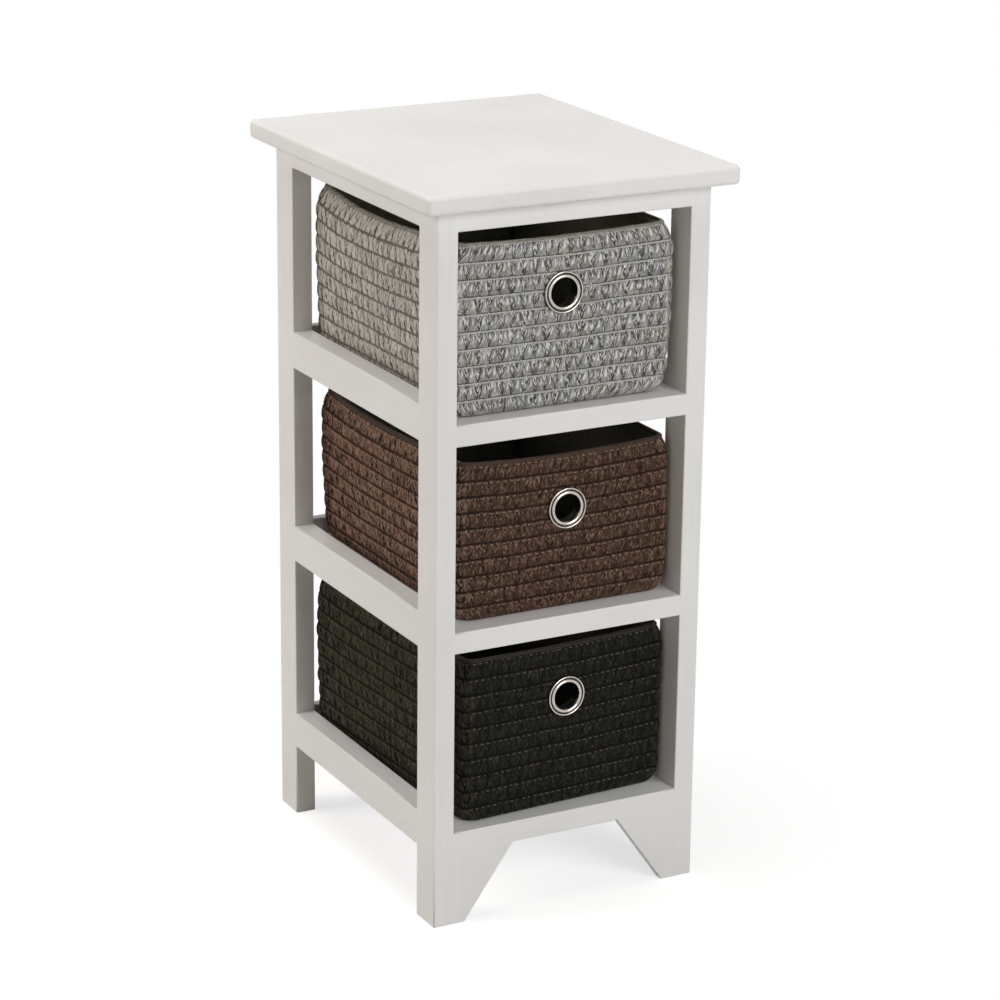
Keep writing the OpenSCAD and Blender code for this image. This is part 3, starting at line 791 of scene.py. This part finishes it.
def lobe_columns(row_level):
    """Where one zigzag's columns lie along the braid, at a height in the band, with their swell."""
    crest = LOBE_FOOT + (LOBE_HEAD - LOBE_FOOT) * row_level
    columns = []
    for index in range(CREST_COLUMNS):
        step = 2 * index / CREST_COLUMNS - 1
        columns.append((0.5 + crest * step, 1 - step**2))
    for index in range(CREST_COLUMNS):
        step = 2 * index / CREST_COLUMNS - 1
        columns.append((0.5 + crest + (0.5 - crest) * (step + 1), -0.25 * (1 - step**2)))
    return columns


def woven_grid(columns, rows, place, uv_of, closed=True):
    """A grid mapped on a tube that closes round its columns and, if it is closed, round its rows too.
    place and uv_of take a column and a row."""
    bm = bmesh.new()
    bmesh.ops.create_grid(bm, x_segments=columns, y_segments=rows, size=0.5)
    uv_layer = bm.loops.layers.uv.new(BRAID_UV)
    cells = {
        vert: (round((vert.co.x + 0.5) * columns), round((vert.co.y + 0.5) * rows)) for vert in bm.verts
    }
    for face in bm.faces:
        for loop in face.loops:
            loop[uv_layer].uv = uv_of(*cells[loop.vert])
    for vert, (column, row) in cells.items():
        vert.co = place(column % columns, row % rows if closed else row)
    bmesh.ops.remove_doubles(bm, verts=bm.verts[:], dist=1e-6)
    open_edges = [edge for edge in bm.edges if edge.is_boundary]
    if open_edges:
        bmesh.ops.holes_fill(bm, edges=open_edges)
    bmesh.ops.recalc_face_normals(bm, faces=bm.faces[:])
    return bm


def cut_at_eyelet(bm, basket, radius):
    """Takes away the faces of the front that reach inside the radius, and gives the new open edges."""
    to_basket = basket.place.inverted()

    def is_near(vert):
        local = to_basket @ vert.co
        return local.y < 0 and math.hypot(local.x, local.z - basket.eyelet_height) < radius

    already_open = {edge for edge in bm.edges if edge.is_boundary}
    cut = [face for face in bm.faces if any(is_near(vert) for vert in face.verts)]
    bmesh.ops.delete(bm, geom=cut, context="FACES")
    return [edge for edge in bm.edges if edge.is_boundary and edge not in already_open]


def open_eyelet_hole(bm, basket, radius):
    """Cuts a round hole through the front for the eyelet, and gives its edges."""
    rim = cut_at_eyelet(bm, basket, radius)
    to_basket = basket.place.inverted()
    for vert in {vert for edge in rim for vert in edge.verts}:
        local = to_basket @ vert.co
        offset = Vector((local.x, 0, local.z - basket.eyelet_height)).normalized() * radius
        vert.co = basket.place @ Vector((offset.x, local.y, basket.eyelet_height + offset.z))
    return rim


def braid_wall(basket):
    """The braided wall: swelling bands of zigzag braid outside, a plain skin inside."""
    per_zigzag = 2 * CREST_COLUMNS
    columns = basket.zigzags * per_zigzag
    outer_rows = BANDS * len(BAND_ROWS)
    rows = outer_rows + 1 + INNER_ROWS
    dice = random.Random(basket.seed)
    puff = {(z, b): dice.uniform(*CREST_SHARES) for z in range(basket.zigzags) for b in range(BANDS + 1)}

    def grid_point(column, row):
        """The band, the level in it, the place along the braid, and the two swells of a grid point."""
        band, step = divmod(row, len(BAND_ROWS))
        level, swell, crest = BAND_ROWS[step] if band < BANDS else (0.0, 0.0, 0.0)
        zigzag, index = divmod(column, per_zigzag)
        along, lobe = lobe_columns(level)[index]
        return band, level, zigzag + along, swell, lobe * crest * puff[zigzag % basket.zigzags, band]

    def place(column, row):
        if row > outer_rows:
            down = (row - outer_rows - 1) / (INNER_ROWS - 1)
            height = basket.wall_height * (1 - down)
            thickness = WALL - 0.6 * MM - 2.0 * MM * max(0.0, 1 - 8 * down)
            return basket.wall_point(column / per_zigzag / basket.zigzags, height, -thickness)
        band, level, along, swell, lobe = grid_point(column, row)
        round_wall = 2 * math.pi * along / basket.zigzags
        stray = Vector((math.cos(round_wall) * 9, math.sin(round_wall) * 9, band * 1.7 + basket.seed))
        drift = noise.noise(stray) * 0.35 * swell
        out = BAND_SWELL * (swell - 1) + LOBE_SWELL * (lobe - 0.6) * swell
        return basket.wall_point((along + drift) / basket.zigzags, (band + level) * basket.band, out)

    def uv_of(column, row):
        if row > outer_rows:
            return column / per_zigzag, BANDS * (rows - row) / (INNER_ROWS + 1)
        band, level, along, _, _ = grid_point(column, row)
        return along, band + level

    bm = woven_grid(columns, rows, place, uv_of)
    rim = open_eyelet_hole(bm, basket, EYELET_RADIUS - 2.2 * MM)
    bmesh.ops.bridge_loops(bm, edges=rim)
    bmesh.ops.recalc_face_normals(bm, faces=bm.faces[:])
    return bm


STITCH_SIDES = 5
STITCH_STEPS = 6
THREAD_STAND = -0.6 * MM
# Each stitch shows by its own share between these
STITCH_SHARES = (0.75, 1.3)


def stitch_rows(basket, thread_radius, pitch, hidden, levels):
    """A thread at each level, counted in bands, which dips into the braid between its stitches."""
    whole = bmesh.new()
    stitches = round(basket.perimeter / pitch)
    columns = stitches * STITCH_STEPS
    for index, level in enumerate(levels):
        dice = random.Random(basket.seed * 31 + index)
        start = dice.random()
        slack = [dice.uniform(*STITCH_SHARES) for _ in range(stitches)]

        def place(column, row, level=level, start=start, slack=slack):
            stitch, step = divmod(column, STITCH_STEPS)
            showing = min(1.0, slack[stitch] * math.sin(math.pi * step / STITCH_STEPS))
            around = 2 * math.pi * row / STITCH_SIDES
            share = (column / STITCH_STEPS + start) / stitches
            _, outward = basket.outline(share, CORNER_RADIUS, 0)
            sunk = (1 - showing) * hidden + abs(outward.x) * MM
            out = THREAD_STAND - sunk + thread_radius * math.cos(around)
            height = level * basket.band + thread_radius * math.sin(around)
            return basket.wall_point(share, height, out)

        row_mesh = woven_grid(columns, STITCH_SIDES, place, lambda column, row: (column, row))
        # A thread ends under the eyelet's flange
        ends = cut_at_eyelet(row_mesh, basket, EYELET_RADIUS - 1.5 * MM)
        if ends:
            bmesh.ops.holes_fill(row_mesh, edges=ends)
        scratch = bpy.data.meshes.new("scratch")
        row_mesh.to_mesh(scratch)
        row_mesh.free()
        whole.from_mesh(scratch)
        bpy.data.meshes.remove(scratch)
    return whole


BINDING_SIDES = [
    (0.35, -0.9), (0.7, -0.3), (0.65, 0.4), (0.2, 1.0), (-0.7, 1.4), (-1.8, 1.35), (-2.7, 0.8), (-3.0, 0.0),
    (-3.0, -2.6), (-2.4, -2.7),
]
TAPE_COLUMNS = 320


def rim_binding(basket):
    """The tape that is folded over the top edge. Its section is given in millimetres, out and up."""

    def place(column, row):
        out, up = BINDING_SIDES[row]
        pucker = 1 + 0.02 * math.sin(column * 2.1) + 0.02 * math.sin(column * 0.73)
        height = basket.wall_height + up * pucker * MM
        return basket.wall_point(column / TAPE_COLUMNS, height, (out - 0.8) * MM)

    return woven_grid(TAPE_COLUMNS, len(BINDING_SIDES), place, lambda column, row: (column, row))


# Into how many parts the lining is cut across, front to back and upwards
LINING_CUTS = (26, 34, 20)
# How deep its creases are on its walls and on its floor
WALL_CREASE = 1.2 * MM
FLOOR_CREASE = 0.8 * MM


def lining_mesh(basket):
    """An open cloth box inside the wall, with soft creases."""
    inset = WALL + 0.3 * MM
    low = Vector((-basket.half_w + inset, -basket.half_d + inset, BASE_TOP + 2 * MM))
    high = Vector((basket.half_w - inset, basket.half_d - inset, basket.wall_height))
    bm = box_mesh(low, high)
    upright = [edge for edge in bm.edges if abs(edge.verts[0].co.z - edge.verts[1].co.z) > 10 * MM]
    round_edges(bm, upright, CORNER_RADIUS - WALL, 4)
    top = [face for face in bm.faces if face.normal.z > 0.9]
    bmesh.ops.delete(bm, geom=top, context="FACES_ONLY")
    for axis, count in enumerate(LINING_CUTS):
        for index in range(1, count):
            cut_across(bm, axis, low[axis] + (high[axis] - low[axis]) * index / count)
    span = high.z - low.z
    for vert in bm.verts:
        level = (vert.co.z - low.z) / span
        crease = noise.noise(Vector((vert.co.x * 26, vert.co.y * 26, vert.co.z * 20 + basket.seed)))
        inward = Vector((-vert.co.x / basket.half_w, -vert.co.y / basket.half_d, 0))
        if vert.co.z < low.z + 0.1 * MM:
            vert.co.z += max(0.0, crease) * FLOOR_CREASE
        else:
            draw = 1.6 * MM * (2 * level - 1) ** 2 - 2.4 * MM * max(0.0, 8 * level - 7)
            vert.co += inward * (draw + 0.5 * MM + max(0.0, crease) * WALL_CREASE)
            vert.co.z -= basket.sag(vert.co) * level**1.3
        vert.co = basket.place @ vert.co
    return bm


BASE_INSET = 5.4 * MM
BASE_RING_ROWS = [(0.0, 0.0), (0.12, 0.7), (0.45, 1.0), (0.80, 0.75)]
BASE_SWELL = 1.0 * MM
BASE_COLUMNS_IN_ZIGZAG = 4


def base_mesh(basket):
    """The braided base: the braid goes on inwards in rings, to a seam along the middle."""
    rings = math.ceil((basket.half_w - BASE_INSET) / basket.band)
    ring_width = (basket.half_w - BASE_INSET) / rings
    columns = basket.zigzags * BASE_COLUMNS_IN_ZIGZAG
    columns += columns % 2
    rows = rings * len(BASE_RING_ROWS) + 1

    def ring_place(row):
        """How many rings in a row lies, and how far the braid swells down there."""
        ring, step = divmod(row - 1, len(BASE_RING_ROWS))
        level, swell = BASE_RING_ROWS[step]
        return ring + level, swell

    def place(column, row):
        rings_in, swell = ring_place(row) if row else (0.0, 0.0)
        inset = BASE_INSET + rings_in * ring_width
        corner = max(0.0, CORNER_RADIUS + 3 * MM - inset)
        point, _ = basket.outline(column / columns, corner, inset)
        point.z = (0.3 * MM + BASE_SWELL * (1 - swell)) if row else BASE_TOP
        return basket.place @ point

    def uv_of(column, row):
        return column / BASE_COLUMNS_IN_ZIGZAG, ring_place(row)[0] if row else 0.0

    return woven_grid(columns, rows, place, uv_of, closed=False)


# The eyelet's section from the outer edge of its flange, over the roll and down the barrel to the lip
# that is set over the washer: radius, and distance out from the wall, in millimetres
EYELET_OUTLINE = [
    (16.25, -0.30), (16.25, 0.75), (16.12, 1.20), (15.85, 1.52), (15.50, 1.62), (15.15, 1.50), (14.90, 1.15),
    (14.80, 0.60), (14.78, 0.10), (13.82, 0.10), (13.80, 0.70), (13.62, 1.30), (13.25, 1.75), (12.75, 2.00),
    (12.20, 2.02), (11.70, 1.80), (11.30, 1.40), (11.08, 0.85), (11.00, 0.20), (11.00, -0.30),
]
# The floor of the groove between the flange's outer rim and its roll, and the barrel, in nearly black metal:
# painted shade, and in the groove a painted dark reflection too
GROOVE_OUTLINE = [(14.85, -0.20), (14.85, 0.25), (13.75, 0.25), (13.75, -0.20)]
BARREL_OUTLINE = [
    (11.80, -0.28), (11.02, -0.28), (11.02, -7.60), (11.20, -8.10), (11.60, -8.30), (13.20, -8.30),
    (13.20, -7.50), (11.80, -7.50),
]
RING_STEPS = 96


def ring_mesh(basket, outline):
    """A ring about the eyelet's axis with the given section, in millimetres."""
    bm = bmesh.new()
    verts = [bm.verts.new((radius * MM, 0, out * MM)) for radius, out in outline]
    edges = [bm.edges.new((verts[i - 1], verts[i])) for i in range(len(verts))]
    bmesh.ops.spin(
        bm, geom=verts + edges, cent=(0, 0, 0), axis=(0, 0, 1), angle=2 * math.pi, steps=RING_STEPS,
        use_merge=True,
    )
    bmesh.ops.remove_doubles(bm, verts=bm.verts[:], dist=1e-6)
    bmesh.ops.recalc_face_normals(bm, faces=bm.faces[:])
    face_front = Matrix.Rotation(math.pi / 2, 4, "X")
    at_wall = Matrix.Translation((0, -basket.half_d, basket.eyelet_height))
    bmesh.ops.transform(bm, matrix=basket.place @ at_wall @ face_front, verts=bm.verts[:])
    return bm


# Faces that meet at a greater angle than this have a crease between them
CREASE_ANGLE = math.radians(50)


def add_basket(basket, stitches):
    colour, braid = basket.colour, basket.colour + "_braid"

    def add(part, bm, material, slot, nodes=(), smooth_angle=None):
        replaced = [colour + node for node in nodes]
        return add_piece(colour + part, bm, material, colour + "_basket", slot, replaced, smooth_angle)

    add("_braid_wall", braid_wall(basket), BRAIDS[colour], braid, ["_basket_shell"])
    add("_braid_base", base_mesh(basket), BRAIDS[colour], braid, ["_basket_shell"], CREASE_ANGLE)
    add("_stitching", stitch_rows(basket, *stitches), THREADS[colour], braid)
    add("_rim_tape", rim_binding(basket), TAPES[colour], braid, ["_rim_binding"])
    lining = lining_mesh(basket)
    open_eyelet_hole(lining, basket, EYELET_RADIUS - 3 * MM)
    cloth = add("_cloth_lining", lining, LININGS[colour], "dark_lining", ["_lining"])
    thickness = cloth.modifiers.new("Cloth", "SOLIDIFY")
    thickness.thickness = LINING_THICKNESS
    thickness.offset = -1
    add("_eyelet_ring", ring_mesh(basket, EYELET_OUTLINE), NICKEL, "nickel", ["_eyelet"], CREASE_ANGLE)
    add("_eyelet_groove", ring_mesh(basket, GROOVE_OUTLINE), SHADE_NICKEL, "nickel", (), CREASE_ANGLE)
    add("_eyelet_barrel", ring_mesh(basket, BARREL_OUTLINE), SHADE_NICKEL, "nickel", (), CREASE_ANGLE)
    finish_cad_node(colour + "_eyelet_washer", NICKEL)
    finish_cad_node(colour + "_base_board", HARDBOARD)


BASKETS = [
    Basket(
        "grey", 0.0, eyelet_drop=44 * MM, sags=(2.5 * MM, 8.5 * MM, 0.5 * MM), rise=1.5 * MM,
        bulge=1.5 * MM, flare=(2.0 * MM, 6.2 * MM), rim_in=5.5 * MM, seed=11,
    ),
    Basket(
        "brown", 0.0, eyelet_drop=45 * MM, sags=(4.0 * MM, 6.0 * MM, 0.5 * MM), rise=1.8 * MM,
        bulge=0.0, flare=(4.9 * MM, 1.5 * MM), rim_in=3.5 * MM, seed=23,
    ),
    Basket(
        "black", BLACK_LEAN, eyelet_drop=43 * MM, sags=(2.0 * MM, 5.0 * MM, 0.0), rise=1.2 * MM,
        bulge=0.5 * MM, flare=(1.2 * MM, 1.0 * MM), rim_in=2.0 * MM, seed=37,
    ),
]
# A row of stitches runs along each band. Grey thread lies close to the seam above it
LEVELS = [band + 0.82 for band in range(BANDS)]
GREY_LEVELS = [band + 0.93 for band in range(BANDS)]
# Each basket's stitches: the thread's radius, their pitch, how deep it dips between them, and their levels
STITCHES = {
    "grey": (0.42 * MM, 6.4 * MM, 0.3 * MM, GREY_LEVELS),
    "brown": (0.5 * MM, 5.3 * MM, 1.6 * MM, LEVELS),
    "black": (0.45 * MM, 5.3 * MM, 1.6 * MM, [0.1, *LEVELS]),
}
for basket in BASKETS:
    add_basket(basket, STITCHES[basket.colour])

# ---- floor, world and lamps ----

FLOOR_SIZE = 12.0
FLOOR_COLOUR = (0.62, 0.60, 0.57, 1)
# Over the floor near the object this is added for the camera, and further out the floor is plain white
FLOOR_LIFT = (0.640, 0.648, 0.662, 1)
SHADOW_REACH = 0.18
SHADOW_END = 0.42
WORLD_LIGHT = (1.0, 0.83, 0.62, 1)
WORLD_STRENGTH = 0.075
# Each lamp's place, the length of its sides, its watts and its colour
LAMPS = {
    "FrontSoftbox": ((0.5, -2.7, 1.35), 1.6, 51, (0.955, 0.975, 1.0)),
    "LeftSoftbox": ((-2.5, 0.9, 1.4), 1.4, 37.8, (1.0, 0.965, 0.94)),
    "TopSoftbox": ((-0.3, 0.2, 2.8), 1.8, 35.5, (1.0, 0.99, 0.98)),
}
LAMP_AIM = Vector((0, 0, 0.3))


def seen_or_mirrored(tree):
    """1 for camera, glossy and transmission rays, and 0 for the rays that light the object."""
    path = add_node(tree, "LightPath")
    shown = maths(tree, "MAXIMUM", path.outputs["Is Camera Ray"], path.outputs["Is Glossy Ray"])
    return maths(tree, "MAXIMUM", shown, path.outputs["Is Transmission Ray"])


def add_floor():
    bm = bmesh.new()
    bmesh.ops.create_grid(bm, x_segments=1, y_segments=1, size=FLOOR_SIZE / 2)
    mesh = bpy.data.meshes.new("Floor")
    bm.to_mesh(mesh)
    bm.free()
    floor = bpy.data.objects.new("Floor", mesh)
    bpy.context.scene.collection.objects.link(floor)
    material, tree, shader = new_material("FloorWhite", Base_Color=FLOOR_COLOUR, Roughness=0.9)
    shader.inputs["Specular IOR Level"].default_value = 0.0
    shown = seen_or_mirrored(tree)
    far = add_node(tree, "VectorMath", {0: object_place(tree)}, operation="LENGTH").outputs["Value"]
    is_far = maths(tree, "MULTIPLY", ramp(tree, far, SHADOW_REACH, SHADOW_END), shown)
    lift = add_node(tree, "Emission", {"Color": FLOOR_LIFT, "Strength": shown})
    lifted = add_node(tree, "AddShader", {0: shader.outputs["BSDF"], 1: lift.outputs["Emission"]})
    white = add_node(tree, "Emission", {"Strength": 1.0})
    faded = add_node(tree, "MixShader", {"Fac": is_far})
    tree.links.new(lifted.outputs["Shader"], faded.inputs[1])
    tree.links.new(white.outputs["Emission"], faded.inputs[2])
    tree.links.new(faded.outputs["Shader"], tree.nodes["Material Output"].inputs["Surface"])
    mesh.materials.append(material)


def add_world():
    world = bpy.data.worlds.new("Studio")
    bpy.context.scene.world = world
    world.use_nodes = True
    tree = world.node_tree
    tree.nodes.clear()
    lighting = add_node(tree, "Background", {"Color": WORLD_LIGHT, "Strength": WORLD_STRENGTH})
    backdrop = add_node(tree, "Background", {"Color": (1, 1, 1, 1), "Strength": 1.0})
    choice = add_node(tree, "MixShader", {"Fac": seen_or_mirrored(tree)})
    tree.links.new(lighting.outputs["Background"], choice.inputs[1])
    tree.links.new(backdrop.outputs["Background"], choice.inputs[2])
    output = add_node(tree, "OutputWorld", {"Surface": choice.outputs["Shader"]})
    output.is_active_output = True


def add_lamp(name, place, side, watts, colour):
    data = bpy.data.lights.new(name, "AREA")
    data.shape = "RECTANGLE"
    data.size = data.size_y = side
    data.energy = watts
    data.color = colour
    lamp = bpy.data.objects.new(name, data)
    bpy.context.scene.collection.objects.link(lamp)
    turn = (LAMP_AIM - Vector(place)).to_track_quat("-Z", "Y").to_matrix().to_4x4()
    lamp.matrix_world = Matrix.Translation(place) @ turn


add_floor()
add_world()
for name, lamp in LAMPS.items():
    add_lamp(name, *lamp)
